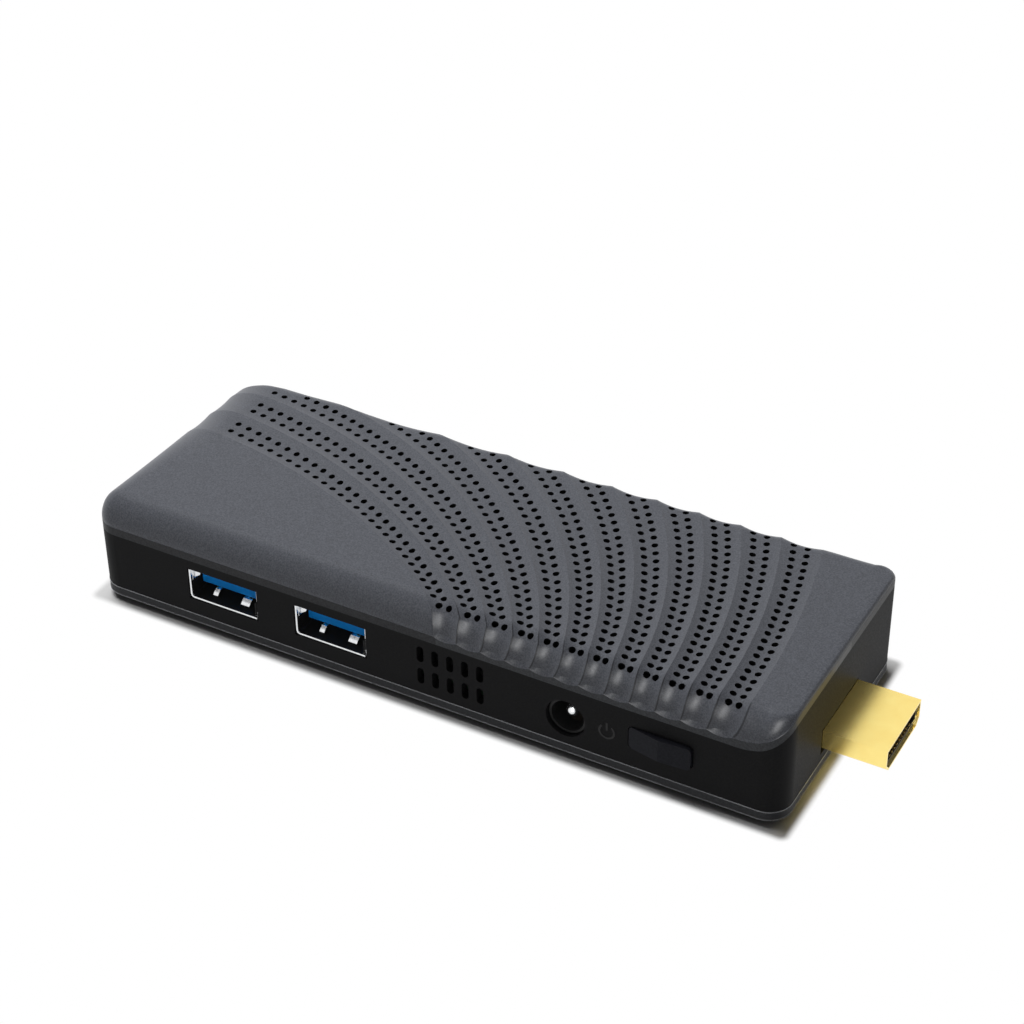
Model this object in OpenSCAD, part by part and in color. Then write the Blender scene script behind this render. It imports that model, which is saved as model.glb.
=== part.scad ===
// Stick computer: a small case with a vented top, a fixed display plug on one end,
// two data sockets, a power jack and a power button on its front wall.
// Millimetres, +Z up, the plug points along +X, the sockets face -Y.

/* [Case] */
// Length of the case, without the plug
case_l = 124.6; // [120:0.2:132]
// Width of the case
case_w = 45.2; // [44:0.2:52]
// Corner radius of the case in plan
corner_r = 4; // [3:0.1:5]
// Thickness of the frame and cover walls
wall = 1.5; // [1.2:0.1:1.8]
// Thickness of the bottom cover
base_h = 1.8; // [1.6:0.1:2.4]
// Height of the frame's long side walls
side_h = 10.65; // [10:0.05:13]
// Height of the frame's wall at the plug end
end_h = 15.15; // [14.4:0.05:16]
// Length over which the frame's upper edge rises towards the plug end
rise_l = 7.8; // [7:0.1:9]
// Height of the top cover above the side walls
cover_h = 6.75; // [6:0.05:9]
// Rounding along the cover's long edges
edge_r = 4.3; // [3.4:0.1:4.6]
// Rounding of the cover's plain end
nose_r = 5.2; // [4:0.1:5.4]
// Bevel along the cover's edge at the plug end
end_bevel = 0.5; // [0.2:0.05:0.8]
// Clearance of the ribs that locate the frame
rib_fit = 0.1; // [0.05:0.05:0.2]
// Thickness of those ribs
rib_t = 1; // [0.8:0.1:1.4]
// How far the ribs reach into the frame
rib_h = 1; // [0.6:0.1:1.4]

/* [Feet and case screws] */
// Diameter of a rubber foot
foot_d = 7; // [6:0.1:8]
// Height of a rubber foot
foot_h = 1.2; // [0.8:0.1:2]
// Distance of a foot and its screw from the end of the case
post_in_x = 4.2; // [4.1:0.1:8]
// Distance of a foot and its screw from the long wall
post_in_y = 6.5; // [6:0.1:8]
// Diameter of a screw post under the top cover
post_d = 4.2; // [4:0.1:5]
// Diameter of the case screws
screw_d = 2; // [1.8:0.1:2.4]
// Length of a case screw below its head
screw_l = 7; // [5:0.5:9]
// Diameter of a screw head
head_d = 3.6; // [3.2:0.1:4]
// Height of a screw head
head_h = 0.9; // [0.7:0.1:1.1]
// Radial gap between a screw and its pilot bore
thread_gap = 0.02; // [0.01:0.01:0.05]
// Radial gap around a screw in a clearance hole
screw_gap = 0.2; // [0.1:0.05:0.3]

/* [Circuit board] */
// Thickness of the main board
board_t = 1.2; // [1:0.1:1.6]
// Gap between the bottom cover and the main board
board_gap = 1.9; // [1.6:0.1:2.4]
// Gap between the main board and the frame wall
board_edge = 0.6; // [0.4:0.1:1]
// Gap around a part that passes through the main board
board_fit = 0.25; // [0.15:0.05:0.4]
// Diameter of a board boss on the bottom cover
boss_d = 4.4; // [4:0.1:5]
// Length of a board screw below its head
board_screw_l = 3.4; // [3:0.1:4]

/* [Data sockets] */
// Width of a socket's shell
usb_w = 13.1; // [12.5:0.1:14]
// Height of a socket's shell
usb_h = 5.6; // [5.1:0.1:6.5]
// Depth of a socket
usb_l = 14; // [12:0.5:15]
// How far a socket's mouth lies behind the wall's face
usb_sink = 0.7; // [0.4:0.1:1]
// Sheet thickness of a socket's shell
usb_t = 0.35; // [0.3:0.05:0.5]
// First socket's centre, from the plug end
usb_x = 99.2; // [97:0.1:101]
// Distance between the two sockets
usb_pitch = 20.6; // [18:0.1:22]
// Thickness of the contact tongue
tongue_t = 1.8; // [1.5:0.1:2]
// How far the contact tongue's end lies behind the mouth
tongue_in = 1.7; // [1:0.1:2.2]
// Gap between a connector and its opening in the frame
port_gap = 0.2; // [0.1:0.05:0.3]

/* [Side vents] */
// Width of a side vent slot
slot_w = 1.25; // [1:0.05:1.6]
// Height of a side vent slot
slot_h = 3.05; // [2.4:0.05:3.4]
// Distance between slots along the wall
slot_pitch = 2.67; // [2.2:0.01:3]
// Distance between the two rows of slots
slot_row = 4.3; // [3.8:0.1:5]
// Slots in a row
slot_count = 5; // [3:1:6]
// Centre of the slots and the cooler, from the plug end
slot_x = 56.5; // [56:0.1:57.5]
// Centre of the slots above the bottom cover
slot_z = 5.5; // [5:0.1:6]

/* [Power jack] */
// Jack axis, from the plug end
jack_x = 36.2; // [35:0.1:37]
// Jack axis above the bottom cover
jack_z = 4.8; // [4.6:0.1:5.2]
// Bore of the jack
jack_bore_d = 5.6; // [5:0.1:6]
// Diameter of the jack's centre pin
jack_pin_d = 2.1; // [1.6:0.1:2.5]
// Width of the jack's body
jack_w = 8.4; // [8:0.1:9]
// Depth of the jack's body
jack_l = 10.5; // [9:0.5:12]
// How far the jack's face lies behind the wall's face
jack_sink = 0.8; // [0.4:0.1:1.2]
// Wall round the jack's bore at its nose
jack_nose = 0.4; // [0.3:0.05:0.6]

/* [Power button] */
// Button centre, from the plug end
button_x = 20.1; // [19:0.1:21]
// Button centre above the bottom cover
button_z = 5.6; // [5:0.1:6]
// Length of the button's window
button_l = 10.9; // [9:0.1:12]
// Height of the button's window
button_h = 4.4; // [3.6:0.1:5]
// Radius of the window's corners
button_r = 0.9; // [0.5:0.1:1.4]
// Gap between the button and its window
button_gap = 0.15; // [0.1:0.05:0.25]
// How far the button's ridge stands out
button_ridge = 1; // [0.6:0.1:1.4]
// How far the button's far end stands out
button_end = 0.65; // [0.3:0.05:0.9]
// Travel of the button
button_travel = 0.4; // [0.2:0.05:0.5]
// Width of the flange that keeps the button in
button_flange = 0.8; // [0.6:0.1:1.2]

/* [Display plug] */
// Width of the plug
plug_w = 13.9; // [13.5:0.1:14.2]
// Height of the plug
plug_h = 4.45; // [4.3:0.05:4.6]
// How far the plug stands out of the case
plug_out = 10.4; // [9:0.1:12]
// How far the plug reaches into the case
plug_in = 9; // [8:0.5:11]
// Bottom of the plug above the bottom cover
plug_z = 1.6; // [1.5:0.1:2.2]
// Plug centre, from the middle of the case towards the front
plug_off = 1.1; // [0:0.1:3]
// Sheet thickness of the plug's shell
plug_t = 0.35; // [0.3:0.05:0.5]
// Height of the plug's mating slot
plug_slot_h = 2.2; // [2:0.1:2.4]
// Depth of the plug's mating slot
plug_slot_l = 8; // [6:0.5:9]

/* [Vent field] */
// Diameter of a vent hole in the top
hole_d = 1.1; // [0.9:0.05:1.3]
// Distance between the holes of a row at the first flute
hole_pitch_first = 2.33; // [2.2:0.01:2.6]
// Distance between the holes of a row at the last flute
hole_pitch_last = 1.92; // [1.85:0.01:2.2]
// Flutes across the top
flute_count = 12; // [8:1:12]
// First holes, from the front wall
hole_front = 2.8; // [2.6:0.1:5]
// Last holes, from the back wall
hole_back = 3.1; // [2.9:0.1:6]
// Last holes of the rows that run to the plain end, from that end
hole_left = 9.6; // [9:0.1:14]

/* [Cooler] */
// Length of the heat sink along the case
sink_l = 24; // [20:0.5:24]
// Gap between the heat sink and the front wall's face
sink_front = 3; // [3:0.1:4]
// Thickness of the heat sink's base
sink_base = 1.3; // [1:0.1:2]
// Height of the heat sink's fins
fin_h = 5.2; // [3:0.1:6]
// Thickness of a fin
fin_t = 0.8; // [0.6:0.1:1]
// Fins on the heat sink
fin_count = 9; // [6:1:10]
// Thickness of the thermal pad
pad_t = 0.4; // [0.3:0.1:1]
// Height of the fan's housing
fan_h = 7.4; // [6.6:0.1:8]
// Wall of the fan's housing
fan_wall = 0.9; // [0.7:0.1:1.2]
// Radius of the fan's wheel
wheel_r = 9.6; // [8:0.1:9.8]
// Gap between the wheel and the housing
wheel_gap = 1; // [0.6:0.1:1.2]
// Blades on the wheel
blade_count = 13; // [7:2:17]
// Thickness of a blade
blade_t = 0.6; // [0.5:0.05:0.8]
// Radius of the wheel's hub
hub_r = 4.6; // [4.4:0.1:5]
// Diameter of the fan's shaft
shaft_d = 1.5; // [1.2:0.1:1.8]
// Radial running clearance of the shaft in its bearing
shaft_gap = 0.03; // [0.02:0.01:0.06]
// Gap between the fan and the heat sink
fan_gap = 1.6; // [1.5:0.1:2]
// Gap between the fan and the back wall's face
fan_back = 3; // [2.4:0.1:4]

/* [Hidden] */
$fn = 48;

// Planes of the case
left = -(case_l + plug_out) / 2;
right = left + case_l;
front = -(case_w - button_ridge) / 2;
back = front + case_w;
mid_y = (front + back) / 2;
base_top = foot_h + base_h;
side_top = base_top + side_h;
end_top = base_top + end_h;
case_top = side_top + cover_h;
ceiling = case_top - wall;
board_z = base_top + board_gap;
board_top = board_z + board_t;
wall_in = front + wall;
eps = 0.01;

// Screw places: case screws, board screws, heat sink screws and fan screws
post_x = [left + post_in_x, right - post_in_x];
post_y = [front + post_in_y, back - post_in_y];
case_pts = [for (x = post_x, y = post_y) [x, y]];
cool_x = right - slot_x;
chamber_r = wheel_r + wheel_gap;
fan_half = chamber_r + fan_wall;
fan_y = back - fan_back - fan_half;
fan_front = fan_y - fan_half;
sink_back = fan_front - fan_gap;
sink_w = sink_back - front - sink_front;
sink_mid = sink_back - sink_w / 2;
ear_d = boss_d;
ear_out = 0.8;
sink_pts = [for (s = [-1, 1]) [cool_x + s * (sink_l / 2 + ear_out), sink_back - 1]];
fan_pts = [for (p = [[-1, 0], [1, 0], [1, -1]])
  [cool_x + p[0] * (fan_half + ear_d / 2 - 0.4), fan_y + p[1] * (fan_half - ear_d / 2)]];
radio_w = 14;
radio_l = 12;
radio_p = [left + 15.5, back - 5 - radio_l];
board_pts = [[radio_p[0] + 2, radio_p[1] - 2.6], [left + 41, back - 6], [right - 12, back - 12]];
inner_pts = concat(board_pts, sink_pts, fan_pts);

// Power button and its switch
button_cz = base_top + button_z;
button_cx = right - button_x;
flange_y = wall_in + 0.05;
flange_t = 0.85;
plunger_w = 3;
plunger_h = 1.6;
plunger_y = flange_y + flange_t + 1.2;
plunger_l = 2.4;
touch_gap = 0.05;
switch_y = plunger_y + 1.3;
switch_l = 4;
switch_w = 6.5;
switch_h = 4.4;

// Power jack
jack_cx = right - jack_x;
jack_cz = base_top + jack_z;
jack_half = 3.6;
jack_back = wall_in + 0.05 + jack_l;
jack_floor = 2;
jack_tail = 0.5;

// Display plug
plug_y = mid_y - plug_off;
plug_bottom = base_top + plug_z;

// Data sockets
usb_cx = [right - usb_x, right - usb_x + usb_pitch];
tongue_gap = 1.3;

// Fan levels
fan_floor = board_top + 0.8;
wheel_z = fan_floor + 0.5;
wheel_h = fan_h - 0.8 - 0.5 - 0.9;
wheel_top = wheel_z + wheel_h;
magnet_t = 0.9;
hub_wall = 0.5;

// Flutes: start from the front wall, then place from the plug end, heading from straight back
// and bend radius, each given at the first flute, a third, two thirds and the last
flute_start = 4.5;
flute_x = [64.1, 43.1, 25.5, 7.2];
flute_turn = [53, 26.5, 8.5, 1];
flute_r = [106, 84, 83, 156];
row_in_flute = [0.31, 0.65];

// Cubic through four values at 0, 1/3, 2/3 and 1
function blend4(v, u) =
  v[0] * (1 - 3 * u) * (2 - 3 * u) * (1 - u) / 2 + v[1] * 9 * u * (2 - 3 * u) * (1 - u) / 2
  + v[2] * 9 * u * (3 * u - 1) * (1 - u) / 2 + v[3] * u * (3 * u - 1) * (3 * u - 2) / 2;
function bend_r(u) = 1 / blend4([for (r = flute_r) 1 / r], u);
function flute_c(u) = let (r = bend_r(u), a = blend4(flute_turn, u))
  [right - blend4(flute_x, u) - r * cos(a), front + flute_start - r * sin(a)];
// Turn of a flute where it reaches a depth or a length of the case
function turn_at_y(u, y) = let (k = (y - flute_c(u)[1]) / bend_r(u)) k < 1 ? asin(k) : 90;
function turn_at_x(u, x) = let (k = (x - flute_c(u)[0]) / bend_r(u)) k < 1 ? acos(k) : 0;
function row_holes(u) =
  let (
    a0 = turn_at_y(u, front + hole_front),
    a1 = min(turn_at_y(u, back - hole_back), turn_at_x(u, left + hole_left)),
    pitch = hole_pitch_first + (hole_pitch_last - hole_pitch_first) * u,
    n = round(bend_r(u) * (a1 - a0) * PI / 180 / pitch)
  )
  [for (i = [0:n]) let (a = a0 + (a1 - a0) * i / n) flute_c(u) + bend_r(u) * [cos(a), sin(a)]];

// Rectangle with round corners, its lower left corner at the origin
module rounded(l, w, r) {
  translate([r, 0]) square([l - 2 * r, w]);
  translate([0, r]) square([l, w - 2 * r]);
  for (x = [r, l - r], y = [r, w - r]) translate([x, y]) circle(r);
}

// Plan of the case, drawn in by i
module plan(i = 0) {
  translate([left + i, front + i])
    rounded(case_l - 2 * i, case_w - 2 * i, max(corner_r - i, 0.6));
}

// Ring between two plans, from z0 to z1
module plan_ring(i0, i1, z0, z1) {
  translate([0, 0, z0]) linear_extrude(z1 - z0) difference() {
    plan(i0);
    plan(i1);
  }
}

// Upright outline with two round upper corners, centred on the case
module arch(w, z0, z1, r) {
  translate([mid_y - w / 2, z0]) square([w, z1 - r - z0]);
  translate([mid_y - w / 2 + r, z0]) square([w - 2 * r, z1 - z0]);
  for (s = [-1, 1]) translate([mid_y + s * (w / 2 - r), z1 - r]) circle(r);
}

// Outline of the case seen from the front, drawn in by i
module side_outline(i, z0, z1, r, bevel) {
  polygon([
    [left + i, z0], [right - i, z0], [right - i, z1 - bevel], [right - i - bevel, z1],
    [left + i + r, z1], [left + i + r, z1 - r], [left + i, z1 - r]
  ]);
  translate([left + i + r, z1 - r]) circle(r);
}

// Closed block of the case above the bottom cover, drawn in by i
module case_block(i, bevel) {
  intersection() {
    translate([0, 0, foot_h]) linear_extrude(case_top - foot_h) plan(i);
    translate([0, back, 0]) rotate([90, 0, 0])
      linear_extrude(case_w) side_outline(i, foot_h, case_top - i, nose_r - i, bevel);
    translate([left, 0, 0]) rotate([90, 0, 90])
      linear_extrude(case_l) arch(case_w - 2 * i, foot_h, case_top - i, edge_r - i);
  }
}

// Height of the frame's upper edge at a share of its rise
function rise_z(u) = side_top + (end_top - side_top) * (1 - pow(1 - u * u, 0.7));

// Space below the frame's upper edge, which rises round the corners of the plug end
module frame_space() {
  steps = 12;
  rise = [for (i = [0:steps]) let (u = sin(90 * i / steps)) [right - rise_l * (1 - u), rise_z(u)]];
  translate([0, back + 1, 0]) rotate([90, 0, 0]) linear_extrude(case_w + 2) polygon(concat(
    [[right + 1, base_top - 1], [left - 1, base_top - 1], [left - 1, side_top]],
    rise,
    [[right + 1, end_top]]
  ));
}

// Box given by its middle in x, its near y, its bottom and its sizes
module slab(x, y, z, sx, sy, sz) {
  translate([x - sx / 2, y, z]) cube([sx, sy, sz]);
}

// Upright peg or bore
module peg(p, z0, z1, d) {
  translate([p[0], p[1], z0]) cylinder(d = d, h = z1 - z0);
}

// Slot with round ends through the front wall
module wall_slot(x, z) {
  translate([x, wall_in + 1, z]) rotate([90, 0, 0]) linear_extrude(wall + 2) {
    square([slot_w, slot_h - slot_w], center = true);
    for (s = [-1, 1]) translate([0, s * (slot_h - slot_w) / 2]) circle(d = slot_w);
  }
}

// Cross-section of the plug, its bottom middle at the origin, drawn in by i
module plug_section(i = 0) {
  cut = 1.15 - i * 0.4;
  polygon([
    [-plug_w / 2 + i, plug_h - i], [-plug_w / 2 + i, cut + i], [-plug_w / 2 + i + cut, i],
    [plug_w / 2 - i - cut, i], [plug_w / 2 - i, cut + i], [plug_w / 2 - i, plug_h - i]
  ]);
}

// Section along the plug's axis, from x0 to x1
module plug_bar(x0, x1, i = 0) {
  translate([x0, plug_y, plug_bottom]) rotate([90, 0, 90]) linear_extrude(x1 - x0) plug_section(i);
}

// Screw with a flat head, standing on its tip
module screw(p, z_head, l, flip = 1) {
  translate([p[0], p[1], z_head]) {
    translate([0, 0, flip > 0 ? -l : 0]) cylinder(d = screw_d, h = l);
    translate([0, 0, flip > 0 ? 0 : -head_h]) cylinder(d = head_d, h = head_h);
  }
}

// Case

module top_cover() color("#5f6166") {
  difference() {
    union() {
      difference() {
        intersection() {
          case_block(0, end_bevel);
          translate([left, front, side_top]) cube([case_l, case_w, cover_h]);
        }
        case_block(wall, 0);
        frame_space();
      }
      for (p = case_pts) peg(p, base_top, ceiling + 0.2, post_d);
      difference() {
        union() {
          plan_ring(wall - 0.2, wall + rib_fit + rib_t, side_top, side_top + rib_h);
          plan_ring(wall + rib_fit, wall + rib_fit + rib_t, side_top - rib_h, side_top + 0.1);
        }
        translate([right - rise_l - 0.5, front, 0]) cube([case_l, case_w, case_top]);
      }
    }
    for (p = case_pts) peg(p, base_top - 1, base_top + screw_l, screw_d + 2 * thread_gap);
    translate([0, 0, ceiling - edge_r]) linear_extrude(wall + 2 * edge_r)
      for (k = [0:flute_count - 1], f = row_in_flute)
        for (p = row_holes((k + f) / flute_count)) translate(p) circle(d = hole_d);
  }
}

module mid_frame() color("#1c1c1d") {
  difference() {
    intersection() {
      plan_ring(0, wall, base_top, end_top);
      case_block(0, 0);
      frame_space();
    }
    for (x = usb_cx)
      slab(x, front - 1, board_top - port_gap, usb_w + 2 * port_gap, wall + 2, usb_h + 2 * port_gap);
    for (i = [0:slot_count - 1], s = [-1, 1])
      wall_slot(cool_x + (i - (slot_count - 1) / 2) * slot_pitch, base_top + slot_z + s * slot_row / 2);
    translate([jack_cx, wall_in + 1, jack_cz]) rotate([90, 0, 0])
      cylinder(d = jack_bore_d + 2 * jack_nose + 2 * port_gap, h = wall + 2);
    button_bar(wall_in + 1, 0);
    translate([right - wall - 1, plug_y - plug_w / 2 - port_gap, plug_bottom - port_gap])
      cube([wall + 2, plug_w + 2 * port_gap, plug_h + 2 * port_gap]);
  }
}

module bottom_cover() color("#4a4b4e") {
  difference() {
    union() {
      translate([0, 0, foot_h]) linear_extrude(base_h) plan();
      difference() {
        plan_ring(wall + rib_fit, wall + rib_fit + rib_t, base_top - 0.1, base_top + rib_h);
        for (p = case_pts) peg(p, base_top, base_top + 2 * rib_h, post_d + 1.4);
      }
      for (p = inner_pts) peg(p, base_top - 0.1, board_z, boss_d);
    }
    for (p = inner_pts)
      peg(p, board_top - board_screw_l - 0.4, board_z + 1, screw_d + 2 * thread_gap);
    for (p = case_pts) {
      peg(p, foot_h - 1, base_top + 1, screw_d + 2 * screw_gap);
      peg(p, foot_h - 1, foot_h + head_h + 0.1, head_d + 2 * screw_gap);
    }
  }
}

module feet() color("#161616") for (p = case_pts) peg(p, 0, foot_h, foot_d);

module case_screws() color("#8d9094")
  for (p = case_pts) screw(p, foot_h + head_h + 0.1, screw_l - 1.2, -1);

// Bar with the outline of the button's window drawn in by i, from y to well in front of the wall
module button_bar(y, i) {
  translate([button_cx - button_l / 2 + i, y, button_cz - button_h / 2 + i]) rotate([90, 0, 0])
    linear_extrude(y - front + button_ridge + 1)
      rounded(button_l - 2 * i, button_h - 2 * i, button_r - i);
}

module power_button() color("#26272c") {
  l = button_l - 2 * button_gap;
  h = button_h - 2 * button_gap;
  intersection() {
    button_bar(flange_y + eps, button_gap);
    translate([button_cx, 0, button_cz - button_h / 2]) linear_extrude(button_h) polygon([
      [-button_l / 2, flange_y + 2 * eps], [button_l / 2, flange_y + 2 * eps],
      [button_l / 2, front - button_end], [0, front - button_ridge], [-button_l / 2, front]
    ]);
  }
  slab(button_cx, flange_y, button_cz - h / 2 - button_flange, l + 2 * button_flange, flange_t,
    h + 2 * button_flange);
  slab(button_cx, flange_y + flange_t - eps, button_cz - plunger_h / 2, plunger_w,
    plunger_y - touch_gap - flange_y - flange_t + eps, plunger_h);
}

// Circuit board and what it carries

module main_board() color("#1d5a36") {
  gap = wall + board_edge;
  difference() {
    translate([0, 0, board_z]) linear_extrude(board_t) plan(gap);
    for (p = case_pts) peg(p, board_z - 1, board_top + 1, post_d + 2 * board_fit);
    for (p = inner_pts) peg(p, board_z - 1, board_top + 1, screw_d + 2 * screw_gap);
    slab(jack_cx, front, board_z - 1, jack_w + 2 * board_fit,
      jack_back + board_fit - front, board_t + 2);
    slab(button_cx, front, board_z - 1, button_l + 2 * button_flange + 2 * board_fit,
      flange_y + flange_t + button_travel + board_fit - front, board_t + 2);
    translate([right - plug_in - board_fit, plug_y - plug_w / 2 - board_fit, board_z - 1])
      cube([plug_in + 1, plug_w + 2 * board_fit, board_t + 2]);
  }
}

module board_screws() color("#a9abae") for (p = board_pts) screw(p, board_top, board_screw_l);

module processor() color("#3a3d40") {
  slab(cool_x, sink_mid - 6, board_top, 20, 12, 0.8);
  slab(cool_x, sink_mid - 4, board_top + 0.8 - eps, 11, 8, 0.4 + eps);
}

proc_top = board_top + 1.2;

module thermal_pad() color("#9aa7b5") slab(cool_x, sink_mid - 5, proc_top, 14, 10, pad_t);

module heat_sink() color("#242528") {
  z = proc_top + pad_t;
  span = sink_l - 2 * (head_d / 2 - ear_out) - 1.2;
  difference() {
    union() {
      slab(cool_x, front + sink_front, z, sink_l, sink_w, sink_base);
      for (i = [0:fin_count - 1])
        translate([cool_x - span / 2 + i * (span - fin_t) / (fin_count - 1), front + sink_front, z])
          cube([fin_t, sink_w, sink_base + fin_h]);
      for (p = sink_pts) {
        peg(p, board_top, z + sink_base, ear_d);
        slab((p[0] + cool_x) / 2, p[1] - ear_d / 4, z, abs(p[0] - cool_x), ear_d / 2, sink_base);
      }
    }
    for (p = sink_pts) peg(p, board_top - 1, z + sink_base + 1, screw_d + 2 * screw_gap);
  }
}

module heat_sink_screws() color("#a9abae")
  for (p = sink_pts) screw(p, proc_top + pad_t + sink_base, board_screw_l + 1.2 + pad_t + sink_base);

module memory_chips() color("#222325")
  for (i = [0, 1]) slab(jack_cx + 4 + i * 13, back - 15, board_top, 10, 11, 1);

module storage_chip() color("#232427") slab(right - 25.5, front + usb_l + 0.5, board_top, 11.5, 10, 1);

module power_chips() color("#2a2b2e") {
  for (i = [0, 1]) slab(right - 16, front + usb_l + 0.5 + i * 5, board_top, 4, 4, 0.9);
  slab((usb_cx[0] + usb_cx[1]) / 2, front + usb_l / 2, board_top, 5, 6, 0.9);
}

module inductors() color("#55575a")
  for (i = [0:2]) slab(right - 35.5, jack_back + 0.6 + i * 4.4, board_top, 4, 4, 2.4);

module wireless_module() color("#c3c6c9") {
  slab(radio_p[0], radio_p[1], board_top, radio_w, radio_l, 2);
  peg([left + 15, back - 9], board_top + 2 - eps, board_top + 2.6, 1.8);
}

antenna_y = back - 14;
antenna_t = 0.4;

module antenna() color("#b88a3a")
  translate([left + wall, antenna_y - 6, board_top + 1]) cube([antenna_t, 12, 4]);

// Thin coaxial lead from the wireless module to the antenna, along hand-placed points
lead_d = 1;
lead_sides = 8;
lead_pts = [
  [left + 15, back - 9, board_top + 3.15], [left + 13, back - 9.4, board_top + 3.2],
  [left + 11, back - 10.4, board_top + 3.3], [left + 9, back - 11.6, board_top + 3.4],
  [left + 7, back - 12.6, board_top + 3.4], [left + 5, back - 13.3, board_top + 3.3],
  [left + 3.4, back - 13.8, board_top + 3.1], [left + wall + antenna_t + 0.12, back - 14, board_top + 3]
];
function unit(v) = v / norm(v);
function lead_dir(i) = unit(lead_pts[min(i + 1, len(lead_pts) - 1)] - lead_pts[max(i - 1, 0)]);
function lead_ring(i) = let (d = lead_dir(i), s = unit(cross(d, [0, 0, 1])), n = cross(s, d))
  [for (j = [0:lead_sides - 1]) let (a = 360 * j / lead_sides)
    lead_pts[i] + lead_d / 2 * (cos(a) * s + sin(a) * n)];

module antenna_lead() color("#1b1b1c") {
  last = len(lead_pts) - 1;
  m = lead_sides;
  polyhedron(
    points = [for (i = [0:last]) each lead_ring(i)],
    faces = concat(
      [for (i = [0:last - 1], j = [0:m - 1]) each [
        [i * m + j, (i + 1) * m + (j + 1) % m, i * m + (j + 1) % m],
        [i * m + j, (i + 1) * m + j, (i + 1) * m + (j + 1) % m]
      ]],
      [for (j = [1:m - 2]) [0, j, j + 1]],
      [for (j = [1:m - 2]) [last * m, last * m + j + 1, last * m + j]]
    )
  );
}

cell_p = [radio_p[0] + radio_w / 2 + 7.7, back - 14];
cell_d = 12.5;

module cell_holder() color("#2b2b2d") difference() {
  peg(cell_p, board_top, board_top + 2.2, cell_d + 1.8);
  peg(cell_p, board_top + 0.6, board_top + 4, cell_d + 0.1);
  slab(cell_p[0], cell_p[1] - cell_d, board_top + 0.6, 5, 2 * cell_d, 4);
}

module clock_cell() color("#c9ccd0") peg(cell_p, board_top + 0.6, board_top + 2.6, cell_d);

// Fan

module fan_housing() color("#202124") {
  top = board_top + fan_h;
  difference() {
    union() {
      peg([cool_x, fan_y], board_top, top, 2 * fan_half);
      slab(cool_x, fan_front, board_top, 2 * fan_half, fan_half, fan_h);
      for (p = fan_pts) peg(p, board_top, board_top + 2, ear_d);
    }
    difference() {
      union() {
        peg([cool_x, fan_y], fan_floor, top + 1, 2 * chamber_r);
        slab(cool_x, fan_front - 1, fan_floor, 2 * chamber_r, fan_half + 1, fan_h);
      }
      peg([cool_x, fan_y], fan_floor - 1, fan_floor + 3.6, shaft_d + 2.6);
    }
    peg([cool_x, fan_y], fan_floor, top, shaft_d + 1.4);
    for (p = fan_pts) peg(p, board_top - 1, board_top + 3, screw_d + 2 * screw_gap);
  }
}

module fan_lid() color("#2b2c30") {
  z = board_top + fan_h;
  difference() {
    union() {
      peg([cool_x, fan_y], z, z + 0.6, 2 * fan_half);
      slab(cool_x, fan_front, z, 2 * fan_half, fan_half, 0.6);
    }
    peg([cool_x, fan_y], z - 1, z + 2, 1.35 * wheel_r);
  }
}

module fan_screws() color("#a9abae") for (p = fan_pts) screw(p, board_top + 2, board_screw_l + 2);

module fan_bearing() color("#b08d57") difference() {
  peg([cool_x, fan_y], fan_floor, fan_floor + 3.6, shaft_d + 1.4 - 2 * thread_gap);
  peg([cool_x, fan_y], fan_floor - 1, fan_floor + 5, shaft_d + 2 * shaft_gap);
}

module fan_stator() color("#a5673f") difference() {
  union() {
    peg([cool_x, fan_y], fan_floor, fan_floor + 0.6, shaft_d + 3.4);
    for (i = [0:3]) translate([cool_x, fan_y, fan_floor + 0.6 - eps]) rotate(i * 45)
      translate([-hub_r + hub_wall + magnet_t + 0.3, -0.6, 0])
        cube([2 * (hub_r - hub_wall - magnet_t - 0.3), 1.2, 2.2]);
    peg([cool_x, fan_y], fan_floor, fan_floor + 2.8, shaft_d + 3.2);
  }
  peg([cool_x, fan_y], fan_floor - 1, fan_floor + 5, shaft_d + 2.6 + 2 * thread_gap);
}

module fan_wheel() color("#2f3034") {
  difference() {
    union() {
      peg([cool_x, fan_y], wheel_z, wheel_top, 2 * hub_r);
      peg([cool_x, fan_y], wheel_z, wheel_z + 0.6, 2 * wheel_r);
      for (i = [0:blade_count - 1]) translate([cool_x, fan_y, wheel_z]) rotate(i * 360 / blade_count)
        translate([hub_r - 0.3, 0, 0]) rotate(24)
          translate([0, -blade_t / 2, 0]) cube([(wheel_r - hub_r) * 0.94, blade_t, wheel_h]);
    }
    peg([cool_x, fan_y], wheel_z - 1, wheel_top - 0.9, 2 * (hub_r - hub_wall));
    peg([cool_x, fan_y], wheel_z, wheel_top + 1, shaft_d + 2 * thread_gap);
  }
}

module fan_shaft() color("#c7cacd") peg([cool_x, fan_y], fan_floor + 0.1, wheel_top, shaft_d);

module fan_magnet() color("#5b5550") difference() {
  peg([cool_x, fan_y], wheel_z + 0.2, wheel_top - 0.9, 2 * (hub_r - hub_wall - thread_gap));
  peg([cool_x, fan_y], wheel_z - 1, wheel_top, 2 * (hub_r - hub_wall - magnet_t));
}

// Connectors

module usb_shell(x) color("#c8cbce") difference() {
  slab(x, front + usb_sink, board_top, usb_w, usb_l - usb_sink, usb_h);
  slab(x, front - 1, board_top + usb_t, usb_w - 2 * usb_t, usb_l + 1 - usb_t, usb_h - 2 * usb_t);
}

tongue_w = usb_w - 2 * usb_t - 1.4;
tongue_top = board_top + usb_h - usb_t - tongue_gap;
tongue_end = front + usb_sink + tongue_in;

module usb_tongue(x) color("#1573bd") {
  slab(x, front + 9.2, board_top + usb_t, usb_w - 2 * usb_t, usb_l - 9.2 - usb_t, usb_h - 2 * usb_t);
  slab(x, tongue_end, tongue_top - tongue_t, tongue_w, front + 9.2 - tongue_end + eps, tongue_t);
}

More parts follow.
